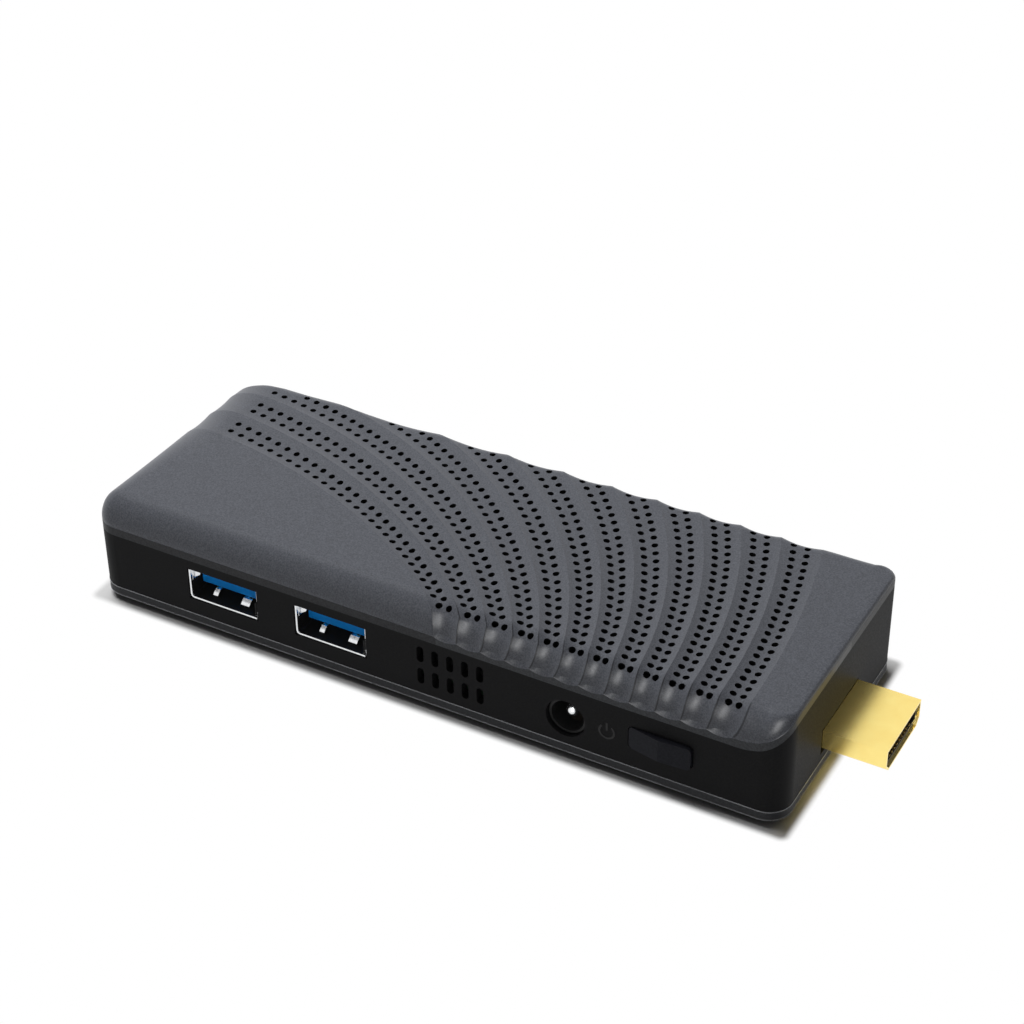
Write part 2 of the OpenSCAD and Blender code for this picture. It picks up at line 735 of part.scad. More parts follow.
module usb_contacts() color("#d9b45a")
  for (x = usb_cx, i = [0:3])
    slab(x + (i - 1.5) * 2.4, tongue_end + 0.5, tongue_top - tongue_t - 0.15, 1, 6, 0.15);

module usb_shell_left() usb_shell(usb_cx[0]);
module usb_shell_right() usb_shell(usb_cx[1]);
module usb_tongue_left() usb_tongue(usb_cx[0]);
module usb_tongue_right() usb_tongue(usb_cx[1]);

plug_tip = right + plug_out;
core_tip = plug_tip - 0.4;
slot_z0 = plug_bottom + (plug_h - plug_slot_h) / 2 + 0.1;

module hdmi_shell() color("#e0b765") {
  difference() {
    plug_bar(right - plug_in, plug_tip);
    plug_bar(right - plug_in - 1, plug_tip + 1, plug_t);
  }
  for (s = [-1, 1])
    translate([right - plug_in + 1, plug_y + s * (plug_w / 2 + 0.8) - 0.8 - eps, board_top])
      cube([4, 1.6 + 2 * eps, 0.4]);
}

module hdmi_core() color("#161617") difference() {
  plug_bar(right - plug_in, core_tip, plug_t);
  translate([core_tip - plug_slot_l, plug_y - plug_w / 2 + 1.1, slot_z0])
    cube([plug_slot_l + 1, plug_w - 2.2, plug_slot_h]);
}

module hdmi_contacts() color("#e8c77a") {
  for (i = [0:9])
    translate([core_tip - plug_slot_l, plug_y + (i - 4.5) - 0.2, slot_z0 + plug_slot_h - 0.25])
      cube([plug_slot_l - 0.1, 0.4, 0.25]);
  for (i = [0:8])
    translate([core_tip - plug_slot_l, plug_y + (i - 4) - 0.2, slot_z0])
      cube([plug_slot_l - 0.1, 0.4, 0.25]);
}

module jack_rod(y0, y1, d) {
  translate([jack_cx, y1, jack_cz]) rotate([90, 0, 0]) cylinder(d = d, h = y1 - y0);
}

module dc_jack_body() color("#18181a") difference() {
  union() {
    slab(jack_cx, wall_in + 0.05, jack_cz - jack_half, jack_w, jack_l, 2 * jack_half);
    jack_rod(front + jack_sink, wall_in + 1, jack_bore_d + 2 * jack_nose);
    slab(jack_cx, wall_in + board_edge + 0.6, board_top, jack_w + 2.6, 4, 1);
  }
  jack_rod(front - 1, jack_back - jack_floor, jack_bore_d);
  jack_rod(jack_back - 3, jack_back + 1, jack_pin_d - jack_tail + 2 * thread_gap);
  slab(jack_cx, wall_in + 2, jack_cz - jack_bore_d / 2 - 0.3, 2, jack_l - 4, jack_bore_d / 2);
}

module dc_jack_pin() color("#d4d7da") {
  tip = front + 2 * jack_sink;
  jack_rod(tip + jack_pin_d / 2, jack_back - jack_floor, jack_pin_d);
  jack_rod(jack_back - jack_floor - eps, jack_back, jack_pin_d - jack_tail);
  translate([jack_cx, tip + jack_pin_d / 2, jack_cz]) sphere(d = jack_pin_d);
}

module dc_jack_contact() color("#c4a25c")
  slab(jack_cx, wall_in + 2, jack_cz - jack_bore_d / 2 - 0.3, 1.9, jack_l - 4, 0.3);

module switch_body() color("#2c2d30") difference() {
  slab(button_cx, switch_y, board_top, switch_w, switch_l, switch_h);
  slab(button_cx, switch_y - 1, button_cz - plunger_h / 2 - 0.1, plunger_w + 0.2,
    1 + plunger_l - 1.3 + button_travel + 0.2, plunger_h + 0.2);
}

module switch_plunger() color("#d8d5cc")
  slab(button_cx, plunger_y, button_cz - plunger_h / 2, plunger_w, plunger_l, plunger_h);

top_cover();
mid_frame();
bottom_cover();
feet();
case_screws();
power_button();
main_board();
board_screws();
processor();
thermal_pad();
heat_sink();
heat_sink_screws();
memory_chips();
storage_chip();
power_chips();
inductors();
wireless_module();
antenna();
antenna_lead();
clock_cell();
cell_holder();
fan_housing();
fan_lid();
fan_screws();
fan_bearing();
fan_stator();
fan_wheel();
fan_shaft();
fan_magnet();
usb_shell_left();
usb_shell_right();
usb_tongue_left();
usb_tongue_right();
usb_contacts();
hdmi_shell();
hdmi_core();
hdmi_contacts();
dc_jack_body();
dc_jack_pin();
dc_jack_contact();
switch_body();
switch_plunger();
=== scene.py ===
# Looks of the stick computer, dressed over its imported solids.
import math

import bmesh
import bpy
import numpy as np
from mathutils import Matrix, Vector
from mathutils.geometry import delaunay_2d_cdt


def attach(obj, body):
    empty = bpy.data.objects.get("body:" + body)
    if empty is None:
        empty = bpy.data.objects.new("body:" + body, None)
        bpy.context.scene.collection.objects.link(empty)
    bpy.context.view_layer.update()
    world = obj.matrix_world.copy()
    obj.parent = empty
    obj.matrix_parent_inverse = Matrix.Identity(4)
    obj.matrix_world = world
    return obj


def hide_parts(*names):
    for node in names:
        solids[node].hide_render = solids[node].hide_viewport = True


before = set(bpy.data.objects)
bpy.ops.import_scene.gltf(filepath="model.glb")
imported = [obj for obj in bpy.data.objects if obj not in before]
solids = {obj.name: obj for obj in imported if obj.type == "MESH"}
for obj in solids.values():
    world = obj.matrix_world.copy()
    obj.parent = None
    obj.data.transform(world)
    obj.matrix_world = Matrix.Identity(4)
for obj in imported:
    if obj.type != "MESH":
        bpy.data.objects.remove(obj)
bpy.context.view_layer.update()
scene = bpy.context.scene

# Planes and sizes of the case in millimetres, the same values as in the part's source
MM = 0.001
LEFT, RIGHT, FRONT, BACK = -67.5, 57.1, -22.1, 23.1
MID_X, MID_Y = (LEFT + RIGHT) / 2, (FRONT + BACK) / 2
FOOT, BASE_TOP, SIDE_TOP, END_TOP, TOP = 1.2, 3.0, 13.65, 18.15, 20.4
CORNER, RISE = 4.0, 7.8
COVER_WALL = 1.5
# How far in the cover's rounding starts: long edges, plain end at its front and back, plug end
EDGE_FRONT, EDGE_BACK = 4.0, 3.3
NOSE_FRONT, NOSE_BACK = 3.7, 10.7
EDGE_END = 0.5

# Sockets: middles, and height of the floor inside them
USB_X, USB_FLOOR = (-42.1, -21.5), 6.45

# Flutes of the top: count, then depth in front, at the back and above the lip
FLUTES, FLUTE_DEPTH, BACK_DEPTH, LIP_DEPTH = 12, 0.72, 0.4, 0.56
# Towards the plain end, over this length, the flutes flatten to this share of their depth
LEFT_FADE, LEFT_SHARE = 20.0, 0.35
# Arcs of the crests, at four steps from the first flute to the last: way in from the plug end at
# FLUTE_START behind the front, turn in degrees there, and radius
FLUTE_START = 4.5
FLUTE_X = [64.1, 43.1, 25.5, 7.2]
FLUTE_TURN = [53.0, 26.5, 8.5, 1.0]
FLUTE_BEND = [106.0, 84.0, 83.0, 156.0]
# The lip over the frame: first crest and pitch along the front, height, and depth of its scallops
LIP_FIRST, LIP_PITCH = MID_X + 2.84, 4.245
LIP_H, LIP_DIP = 1.5, 0.5

# Vent holes: size, places of the two rows across a flute, ways in from the edges, first and last pitch
HOLE_R, HOLE_SIDES = 0.55, 14
HOLE_ROWS = (0.31, 0.65)
HOLE_FRONT, HOLE_BACK, HOLE_LEFT = 2.25, 3.1, 9.6
HOLE_PITCH = (2.33, 1.92)


# Materials

def linear(code):
    """Linear colour with alpha from an sRGB hex value."""
    parts = [int(code[i:i + 2], 16) / 255 for i in (1, 3, 5)]
    return tuple(c / 12.92 if c <= 0.04045 else ((c + 0.055) / 1.055) ** 2.4 for c in parts) + (1.0,)


def add(tree, kind, inputs=None, **settings):
    """Adds a node, sets its properties, and sets or links its inputs."""
    made = tree.nodes.new(kind)
    for name, value in settings.items():
        setattr(made, name, value)
    for name, value in (inputs or {}).items():
        if isinstance(value, bpy.types.NodeSocket):
            tree.links.new(value, made.inputs[name])
        else:
            made.inputs[name].default_value = value
    return made


def finish_of(name, dark, light, grain_mm, roughness, metallic=0.0, ior=1.5, bump_mm=0.0, spread=0.5,
              stretch=(1, 1, 1), rough_swing=0.08, specular=0.5):
    """Surface with a grain of that size between two colours, and a roughness and relief that follow it."""
    material = bpy.data.materials.new(name)
    material.use_nodes = True
    tree = material.node_tree
    shader = tree.nodes["Principled BSDF"]
    shader.inputs["Metallic"].default_value = metallic
    shader.inputs["IOR"].default_value = ior
    shader.inputs["Specular IOR Level"].default_value = specular
    where = add(tree, "ShaderNodeTexCoord")
    place = add(tree, "ShaderNodeMapping", {"Vector": where.outputs["Object"], "Scale": stretch})
    grain = add(tree, "ShaderNodeTexNoise", {
        "Vector": place.outputs["Vector"], "Scale": 1 / (grain_mm * MM), "Detail": 3.0, "Roughness": 0.6})
    tint = add(tree, "ShaderNodeValToRGB", {"Fac": grain.outputs["Fac"]})
    tint.color_ramp.elements[0].position = 0.5 - spread / 2
    tint.color_ramp.elements[1].position = 0.5 + spread / 2
    tint.color_ramp.elements[0].color = linear(dark)
    tint.color_ramp.elements[1].color = linear(light)
    tree.links.new(tint.outputs["Color"], shader.inputs["Base Color"])
    sheen = add(tree, "ShaderNodeMapRange", {
        "Value": grain.outputs["Fac"], "From Min": 0.3, "From Max": 0.7,
        "To Min": roughness - rough_swing, "To Max": roughness + rough_swing})
    tree.links.new(sheen.outputs["Result"], shader.inputs["Roughness"])
    if bump_mm:
        relief = add(tree, "ShaderNodeBump", {
            "Height": grain.outputs["Fac"], "Distance": bump_mm * MM, "Strength": 1.0})
        tree.links.new(relief.outputs["Normal"], shader.inputs["Normal"])
    return material


def paint_crest_shade(material, strength):
    """Painted shade: a thin darker line along the flutes' crests, where the cover's mesh carries a value near
    1.
    """
    tree = material.node_tree
    shader = tree.nodes["Principled BSDF"]
    base = shader.inputs["Base Color"].links[0].from_socket
    crest = add(tree, "ShaderNodeAttribute", attribute_name="crest")
    line = add(tree, "ShaderNodeMapRange", {
        "Value": crest.outputs["Fac"], "From Min": 0.6, "From Max": 0.9, "To Max": strength},
        interpolation_type="SMOOTHSTEP")
    mixed = add(tree, "ShaderNodeMixRGB", {
        "Fac": line.outputs["Result"], "Color1": base, "Color2": linear("#16171a")}, blend_type="MIX")
    tree.links.new(mixed.outputs["Color"], shader.inputs["Base Color"])


# Metallic lacquer on moulded ABS, bead-blasted: a soft grey sheen with fine light and dark specks.
# The real grit of about 0.1 mm is drawn at 0.25 mm, so that it shows.
COVER_LACQUER = finish_of("bead_blasted_lacquer", "#515359", "#686b73", 0.25, 0.38, bump_mm=0.005,
                          spread=0.3, specular=0.2)
# Painted shade along the crests: a thin dark line where each sharp crest falls into shade
paint_crest_shade(COVER_LACQUER, 0.8)
# The same lacquer in a darker grey on the bottom cover and the plain lip: duller, with the same specks.
BASE_LACQUER = finish_of("bead_blasted_dark_lacquer", "#2a2b2e", "#3c3d40", 0.3, 0.45, bump_mm=0.008,
                         spread=0.36, specular=0.12)
# Painted light: a lighter copy of the lip's lacquer, between both in tone, on the scalloped lip, for the
# little more light it catches.
LIP_LACQUER = finish_of("bead_blasted_mid_lacquer", "#34363a", "#46484c", 0.3, 0.4, bump_mm=0.008,
                        spread=0.36, specular=0.15)
# Painted highlight on the bottom cover's broken edges: two light lines along the base, a light lacquer for
# the light they catch.
EDGE_HIGHLIGHT = finish_of("painted_edge_highlight", "#8f9196", "#aeb0b4", 0.4, 0.4)
# Black ABS from a fine-etched mould: nearly black, satin, with a faint grain.
FRAME_ABS = finish_of("satin_black_abs", "#1e1e1f", "#262627", 0.35, 0.5, bump_mm=0.006, specular=0.035)
# Slate ABS of the button, polished a little by fingers: dark blue-grey, smoother than the frame.
BUTTON_ABS = finish_of("slate_abs", "#1f2026", "#2a2b31", 0.4, 0.4, bump_mm=0.004, specular=0.05)
# Natural rubber foot: dull black with a dusty grain.
FOOT_RUBBER = finish_of("moulded_rubber", "#101010", "#1d1d1d", 0.4, 0.8, bump_mm=0.03, specular=0.3)
# Gold flash over nickel on the plug's stamped shell: a clear yellow mirror, very slightly uneven.
PLUG_GOLD = finish_of("gold_flashed_shell", "#fbdf86", "#ffe892", 3.0, 0.24, metallic=1.0, rough_swing=0.004)
# The same flash on the contacts and the antenna: deeper yellow, finer grain.
CONTACT_GOLD = finish_of("gold_flashed_contact", "#d9b25a", "#f2d68c", 0.3, 0.28, metallic=1.0)
# Phosphor bronze spring of the jack, drawn a dull dark brown that hardly shines: painted shade, for the dark
# inside the jack.
SPRING_BRONZE = finish_of("spring_bronze_painted_shade", "#1d1712", "#2c231a", 0.4, 0.6, metallic=0.6)
# Bright nickel on the sockets' folded sheet: clear reflections, faint drawing lines.
PORT_NICKEL = finish_of("bright_nickel", "#d3d5d8", "#eff0f1", 0.5, 0.2, metallic=1.0,
                        stretch=(1, 0.15, 1), rough_swing=0.05)
# Blue PBT tongue: satin moulded plastic, slightly uneven in tone.
TONGUE_PBT = finish_of("blue_pbt", "#0e84dc", "#1690e6", 1.2, 0.5, spread=0.7, specular=0.04)
# Glass-filled black polymer of the plug's core and the jack: black, faintly grainy. It also draws the black
# sheet of painted shade low in the sockets.
CORE_POLYMER = finish_of("glass_filled_polymer", "#0b0b0c", "#131314", 0.25, 0.5, bump_mm=0.004, specular=0.2)
# Solder mask on the board: green lacquer over copper, uneven where tracks run below it.
BOARD_MASK = finish_of("green_solder_mask", "#123f25", "#226a40", 0.9, 0.35, spread=0.25, bump_mm=0.02)
# Epoxy of the chips: dull black with filler specks.
CHIP_EPOXY = finish_of("chip_epoxy", "#1b1c1e", "#2b2c2f", 0.2, 0.6, bump_mm=0.004)
# Black-anodised aluminium of the heat sink: a dark sheen with die lines along the fins.
SINK_ANODISED = finish_of("black_anodised_aluminium", "#0c0c0d", "#18191a", 0.4, 0.5, metallic=0.4,
                          stretch=(1, 0.06, 1), specular=0.25)
# Sintered ferrite: dark grey and grainy.
FERRITE = finish_of("sintered_ferrite", "#3d3f42", "#5a5c60", 0.25, 0.65, bump_mm=0.01)
# Tinned sheet of the radio's can and the clock cell: bright grey metal with a cloudy shine.
TINNED_SHEET = finish_of("tinned_sheet", "#adb0b3", "#d4d6d8", 0.8, 0.3, metallic=1.0)
# Silicone of the thermal pad: matt blue-grey, slightly mottled.
PAD_SILICONE = finish_of("soft_silicone", "#8996a5", "#a9b5c1", 0.6, 0.75)
# Polymer jacket of the antenna's lead: black and satin, with streaks along it.
LEAD_JACKET = finish_of("lead_jacket", "#121213", "#1f1f20", 0.5, 0.45, stretch=(0.3, 1, 1))
# Black PBT of the fan: satin near-black with a fine mould grain.
FAN_PBT = finish_of("fan_pbt", "#1a1b1d", "#27282b", 0.4, 0.45, bump_mm=0.005)
# Oil-filled sintered bronze of the fan's bearing: dull brown-gold, fine grained.
BEARING_BRONZE = finish_of("sintered_bronze", "#8f6f3f", "#bb9660", 0.2, 0.5, metallic=1.0)
# Enamelled copper wire of the fan's coils: red-brown sheen, fine turns side by side.
COIL_COPPER = finish_of("enamelled_copper", "#7d4421", "#b56c3f", 0.2, 0.35, metallic=1.0,
                        stretch=(0.1, 0.1, 1))
# Zinc on the screws: grey and a little patchy.
SCREW_ZINC = finish_of("zinc_plate", "#8d9094", "#b4b7ba", 0.4, 0.38, metallic=1.0)
# Cream nylon of the switch's plunger: pale, satin, a little uneven.
PLUNGER_NYLON = finish_of("cream_nylon", "#cbc7ba", "#dedbd0", 0.5, 0.5)


# Camera at the photograph's place, from the middle of the case's underside
CAMERA_FROM = (157.6, -274.0, 246.4)


def make_camera():
    azimuth, elevation, roll = math.radians(29.182), math.radians(35.33), math.radians(-0.627)
    back = Vector((math.sin(azimuth) * math.cos(elevation), -math.cos(azimuth) * math.cos(elevation),
                   math.sin(elevation)))
    right = Vector((math.cos(azimuth), math.sin(azimuth), 0))
    up = back.cross(right)
    across = right * math.cos(roll) + up * math.sin(roll)
    upright = up * math.cos(roll) - right * math.sin(roll)
    data = bpy.data.cameras.new("camera")
    data.sensor_width = 36
    data.lens = 85.25
    data.clip_start = 0.01
    data.clip_end = 50
    camera = bpy.data.objects.new("camera", data)
    turn = Matrix((across, upright, back)).transposed().to_4x4()
    x, y, z = CAMERA_FROM
    camera.matrix_world = Matrix.Translation(Vector((x + MID_X, y + MID_Y, z + FOOT)) * MM) @ turn
    scene.collection.objects.link(camera)
    scene.camera = camera


# Top cover: plan, edge rounding and flutes
# Halvings that find a place, and the small step that gives a slope
HALVINGS, NUDGE = 44, 0.02


def blend4(values, u):
    """Cubic through four values at 0, 1/3, 2/3 and 1."""
    a, b, c, d = values
    return (a * (1 - 3 * u) * (2 - 3 * u) * (1 - u) / 2 + b * 9 * u * (2 - 3 * u) * (1 - u) / 2
            + c * 9 * u * (3 * u - 1) * (1 - u) / 2 + d * u * (3 * u - 1) * (3 * u - 2) / 2)


def flute_arc(t):
    """Centre and radius of the arc at flute place t, where whole numbers are crests."""
    u = np.asarray(t, float) / FLUTES
    radius = 1 / blend4([1 / r for r in FLUTE_BEND], u)
    turn = np.radians(blend4(FLUTE_TURN, u))
    x = RIGHT - blend4(FLUTE_X, u)
    return x - radius * np.cos(turn), FRONT + FLUTE_START - radius * np.sin(turn), radius


def flute_at(x, y):
    """Flute place of points in plan, by halving."""
    low, high = np.full(np.shape(x), -2.0), np.full(np.shape(x), 14.0)
    for _ in range(HALVINGS):
        middle = (low + high) / 2
        cx, cy, radius = flute_arc(middle)
        beyond = np.hypot(x - cx, y - cy) > radius
        low, high = np.where(beyond, middle, low), np.where(beyond, high, middle)
    return (low + high) / 2


def turn_at(t, y=None, x=None):
    """Angle on the arc of flute place t where it reaches y or x."""
    cx, cy, radius = flute_arc(t)
    if y is not None:
        share = (y - cy) / radius
        return math.asin(share) if share < 1 else math.pi / 2
    share = (x - cx) / radius
    return math.acos(share) if share < 1 else 0.0


def on_arc(t, angle):
    """Point in plan on the arc of flute place t."""
    cx, cy, radius = flute_arc(t)
    return np.array([cx + radius * math.cos(angle), cy + radius * math.sin(angle)])


def low_edge(x):
    """Height of the cover's lower edge: level along the sides, rising round the plug end's corners."""
    u = np.clip((x - RIGHT + RISE) / RISE, 0, 1)
    return SIDE_TOP + (END_TOP - SIDE_TOP) * (1 - (1 - u * u) ** 0.7)


def edge_of(x, y):
    """For points in plan: the rounded edge's lean, 0 on the flat to 1 at its foot, and its whole fall."""
    x, y = np.asarray(x, float), np.asarray(y, float)
    side = np.where(y < MID_Y, EDGE_FRONT, EDGE_BACK)
    inset = np.minimum(y - FRONT, BACK - y)
    across = np.clip(1 - inset / side, 0, None)
    nose = NOSE_FRONT + (NOSE_BACK - NOSE_FRONT) * (y - FRONT) / (BACK - FRONT)
    along = np.clip(1 - (x - LEFT) / nose, 0, None)
    # Plug end: the long edge's rounding tightens on its way round the corner
    qx, qy = x - RIGHT + CORNER, CORNER - inset
    turn = np.where(qx > 0, np.where(qy > 0, np.arctan2(qy, qx) / (math.pi / 2), 0.0), 1.0)
    near = CORNER - np.where(qy > 0, np.hypot(qx, qy), qx)
    round_end = np.clip(1 - near / (EDGE_END + (side - EDGE_END) * turn), 0, None)
    lean = np.where(qx > 0, round_end, np.hypot(along, across))
    foot_x = np.where(qx > 0, RIGHT - CORNER + CORNER * np.cos(turn * math.pi / 2), x)
    return lean, TOP - low_edge(foot_x) - LIP_H


def scallop(t, x, y):
    """Depth of the flutes at flute place t: round hollows between sharp crests, shallower left and back."""
    part = t - np.floor(t)
    deep = FLUTE_DEPTH + (BACK_DEPTH - FLUTE_DEPTH) * np.clip((y - MID_Y) / (BACK - MID_Y), 0, 1)
    deep = deep * np.clip((x - LEFT) / LEFT_FADE, LEFT_SHARE, 1)
    return np.where((t > 0) & (t < FLUTES), deep * 4 * part * (1 - part), 0.0)


def plain_top(x, y):
    """Height of the cover's upper side without its flutes."""
    lean, fall = edge_of(x, y)
    return TOP - fall * (1 - np.sqrt(1 - np.clip(lean, 0, 0.999) ** 2))


def cover_top(x, y):
    """Places on the cover's upper side, from plan, with the flutes sunk square to it."""
    h = NUDGE
    z = plain_top(x, y)
    slope_x = (plain_top(x + h, y) - plain_top(x - h, y)) / (2 * h)
    slope_y = (plain_top(x, y + h) - plain_top(x, y - h)) / (2 * h)
    depth = scallop(flute_at(x, y), x, y) / np.sqrt(1 + slope_x ** 2 + slope_y ** 2)
    return np.stack([x + slope_x * depth, y + slope_y * depth, z - depth], axis=-1)


def top_normals(x, y):
    """Directions square to the cover's upper side, from plan."""
    h = NUDGE
    along = cover_top(x + h, y) - cover_top(x - h, y)
    across = cover_top(x, y + h) - cover_top(x, y - h)
    normal = np.cross(along, across)
    return normal / np.linalg.norm(normal, axis=-1, keepdims=True)


def vent_holes():
    """Middles of the vent holes in plan."""
    spots = []
    for flute in range(FLUTES):
        for place in HOLE_ROWS:
            t = flute + place
            first = turn_at(t, y=FRONT + HOLE_FRONT)
            last = min(turn_at(t, y=BACK - HOLE_BACK), turn_at(t, x=LEFT + HOLE_LEFT))
            pitch = HOLE_PITCH[0] + (HOLE_PITCH[1] - HOLE_PITCH[0]) * t / FLUTES
            count = round(float(flute_arc(t)[2]) * (last - first) / pitch)
            spots += [on_arc(t, first + (last - first) * i / count) for i in range(count + 1)]
    return np.array(spots)


def plan_inset(x, y):
    """Distance in from the case's outline, for points in plan."""
    qx = np.abs(x - MID_X) - (RIGHT - LEFT) / 2 + CORNER
    qy = np.abs(y - MID_Y) - (BACK - FRONT) / 2 + CORNER
    return np.where((qx > 0) & (qy > 0), CORNER - np.hypot(qx, qy), CORNER - np.maximum(qx, qy))


def face_outwards(mesh):
    """Turns the mesh's faces outwards."""
    work = bmesh.new()
    work.from_mesh(mesh)
    bmesh.ops.recalc_face_normals(work, faces=work.faces)
    work.to_mesh(mesh)
    work.free()


# The cover's edge is built in columns from JOIN inside the edge down to the lip, SPLIT columns to a flute
# and DROPS points to a column
JOIN, SPLIT, DROPS = 1.5, 8, 12
# Spacing of the mesh's points along crests, along hollows and on the plain part, and their rows by the edge
CREST_STEP, HOLLOW_STEP, PLAIN_STEP = 0.8, 0.9, 3.0
EDGE_ROWS = (1.9, 2.3, 2.8, 3.3, 3.9, 4.6)
# Room that loose points leave to the join, to a hole's rim, and to a crest in flutes
ROOM_JOIN, ROOM_RIM, ROOM_CREST = 0.25, 0.12, 0.06
# How much more than evenly a column may lean where it leaves the top, and the lean that is always allowed
LEAN, FREE_LEAN = 2.6, 0.6
# The rounding's last point stands this far in from the lip and above it
LIP_IN, LIP_OVER = 0.05, 0.08
# The crests' lines of painted shade run back from the front by this much, fading over the second length
LINE_END, LINE_FADE = 7, 5


def edge_columns():
    """Columns round the edge, counterclockwise from the front left corner: join, foot, way out."""
    columns = []
    steps = [t / SPLIT for t in range(FLUTES * SPLIT + 1)]

    def straight(join, foot, out):
        columns.append((np.array(join), np.array(foot), np.array(out, float)))

    def corner(cx, cy, first):
        for i in range(1, 8):
            a = math.radians(first + 90 * i / 8)
            out = np.array([math.cos(a), math.sin(a)])
            middle = np.array([cx, cy])
            straight(middle + out * (CORNER - JOIN), middle + out * CORNER, out)

    # Front: plain, then the flutes that lean on their way down to the lip, then plain
    y = FRONT + JOIN
    tops = [float(on_arc(t, turn_at(t, y=y))[0]) for t in steps]
    feet = [LIP_FIRST + LIP_PITCH * t for t in steps]
    a, b = LEFT + CORNER, RIGHT - CORNER
    for x in np.linspace(a, tops[0], 24)[:-1]:
        straight((x, y), (x + (feet[0] - tops[0]) * ((x - a) / (tops[0] - a)) ** 2, FRONT), (0, -1))
    for x, foot in zip(tops, feet):
        straight((x, y), (foot, FRONT), (0, -1))
    for x in np.linspace(tops[-1], b, 6)[1:]:
        straight((x, y), (x + (feet[-1] - tops[-1]) * (b - x) / (b - tops[-1]), FRONT), (0, -1))
    corner(b, FRONT + CORNER, -90)
    # Plug end
    for y in np.linspace(FRONT + CORNER, BACK - CORNER, 14):
        straight((RIGHT - JOIN, y), (RIGHT, y), (1, 0))
    corner(b, BACK - CORNER, 0)
    # Back and plain end: the flutes run straight down
    y, x_end = BACK - JOIN, LEFT + JOIN
    exits = [on_arc(t, turn_at(t, y=y)) for t in steps]
    behind = [float(p[0]) for p in exits if a < p[0] < b and p[1] > y - 0.01]
    for x in sorted(set(behind) | {a, b} | set(np.linspace(max(behind), b, 6)), reverse=True):
        straight((x, y), (x, BACK), (0, 1))
    corner(a, BACK - CORNER, 90)
    aside = [float(on_arc(t, turn_at(t, x=x_end))[1]) for t in steps[:4 * SPLIT]]
    aside = [v for v in aside if FRONT + CORNER < v < BACK - CORNER]
    plain = np.linspace(FRONT + CORNER, min(aside), 10)
    for v in sorted(set(aside) | set(plain) | {BACK - CORNER}, reverse=True):
        straight((x_end, v), (LEFT, v), (-1, 0))
    corner(a, FRONT + CORNER, 180)
    return columns


def cover_plan(columns, holes):
    """Flat mesh of the top in plan, without the holes.

    Gives its points and faces, the point that each given one became, the holes' rims and the crests' points.
    """
    joins = np.array([c[0] for c in columns])
    points = list(joins)
    ring = len(columns)
    lines = [(i, (i + 1) % ring) for i in range(ring)]

    # Crest lines, which the mesh keeps as sharp edges
    for crest in range(FLUTES + 1):
        first = turn_at(crest, y=FRONT + JOIN)
        last = min(turn_at(crest, y=BACK - JOIN), turn_at(crest, x=LEFT + JOIN))
        count = max(int(float(flute_arc(crest)[2]) * (last - first) / CREST_STEP), 4)
        path = [on_arc(crest, first + (last - first) * i / count) for i in range(count + 1)]
        index = [int(np.argmin(np.hypot(*(joins - path[0]).T)))]
        for p in path[1:-1]:
            index.append(len(points))
            points.append(p)
        index.append(int(np.argmin(np.hypot(*(joins - path[-1]).T))))
        lines += list(zip(index[:-1], index[1:]))
    ridge = range(ring, len(points))

    # Rims of the vent holes
    rims = []
    for spot in holes:
        rim = range(len(points), len(points) + HOLE_SIDES)
        rims.append(list(rim))
        for i in range(HOLE_SIDES):
            a = 2 * math.pi * i / HOLE_SIDES
            points.append(spot + HOLE_R * np.array([math.cos(a), math.sin(a)]))
        lines += [(rim[i], rim[(i + 1) % HOLE_SIDES]) for i in range(HOLE_SIDES)]

    # Loose points that carry the flutes' hollows and the rounded edges
    loose = []
    for step in range(FLUTES * SPLIT):
        t = step / SPLIT
        if step % SPLIT == 0:
            continue
        first = turn_at(t, y=FRONT + JOIN)
        last = min(turn_at(t, y=BACK - JOIN), turn_at(t, x=LEFT + JOIN))
        count = max(int(float(flute_arc(t)[2]) * (last - first) / HOLLOW_STEP), 4)
        loose += [on_arc(t, first + (last - first) * (i + 0.5 * (step % 2)) / count) for i in range(count)]
    for join, _, out in columns:
        for inset in EDGE_ROWS:
            loose.append(join - out * (inset - JOIN))
    for x in np.arange(LEFT + 6, RIGHT - 2, PLAIN_STEP):
        for y in np.arange(FRONT + 5, BACK - 4, PLAIN_STEP):
            loose.append(np.array([x, y]))
    loose = np.array(loose)
    loose = loose[plan_inset(loose[:, 0], loose[:, 1]) > JOIN + ROOM_JOIN]
    apart = np.ones(len(loose), bool)
    for spot in holes:
        apart &= np.hypot(*(loose - spot).T) > HOLE_R + ROOM_RIM
    loose = loose[apart]
    place = flute_at(loose[:, 0], loose[:, 1])
    off_crest = np.abs(place - np.round(place)) > ROOM_CREST
    loose = loose[off_crest | (place < -0.2) | (place > FLUTES + 0.2)]
    points += list(loose)

    made = delaunay_2d_cdt([Vector(p) for p in points], lines, [], 0, 1e-5)
    flat, faces, origin = np.array([list(v) for v in made[0]]), made[2], made[3]
    index_of = {}
    for new, olds in enumerate(origin):
        for old in olds:
            index_of[old] = new
    middles = np.array([flat[list(f)].mean(axis=0) for f in faces])
    nearest = np.full(len(middles), 9.0)
    for spot in holes:
        nearest = np.minimum(nearest, np.hypot(*(middles - spot).T))
    kept = [list(f) for f, d in zip(faces, nearest) if d > HOLE_R * 0.97]
    return flat, kept, index_of, rims, ridge


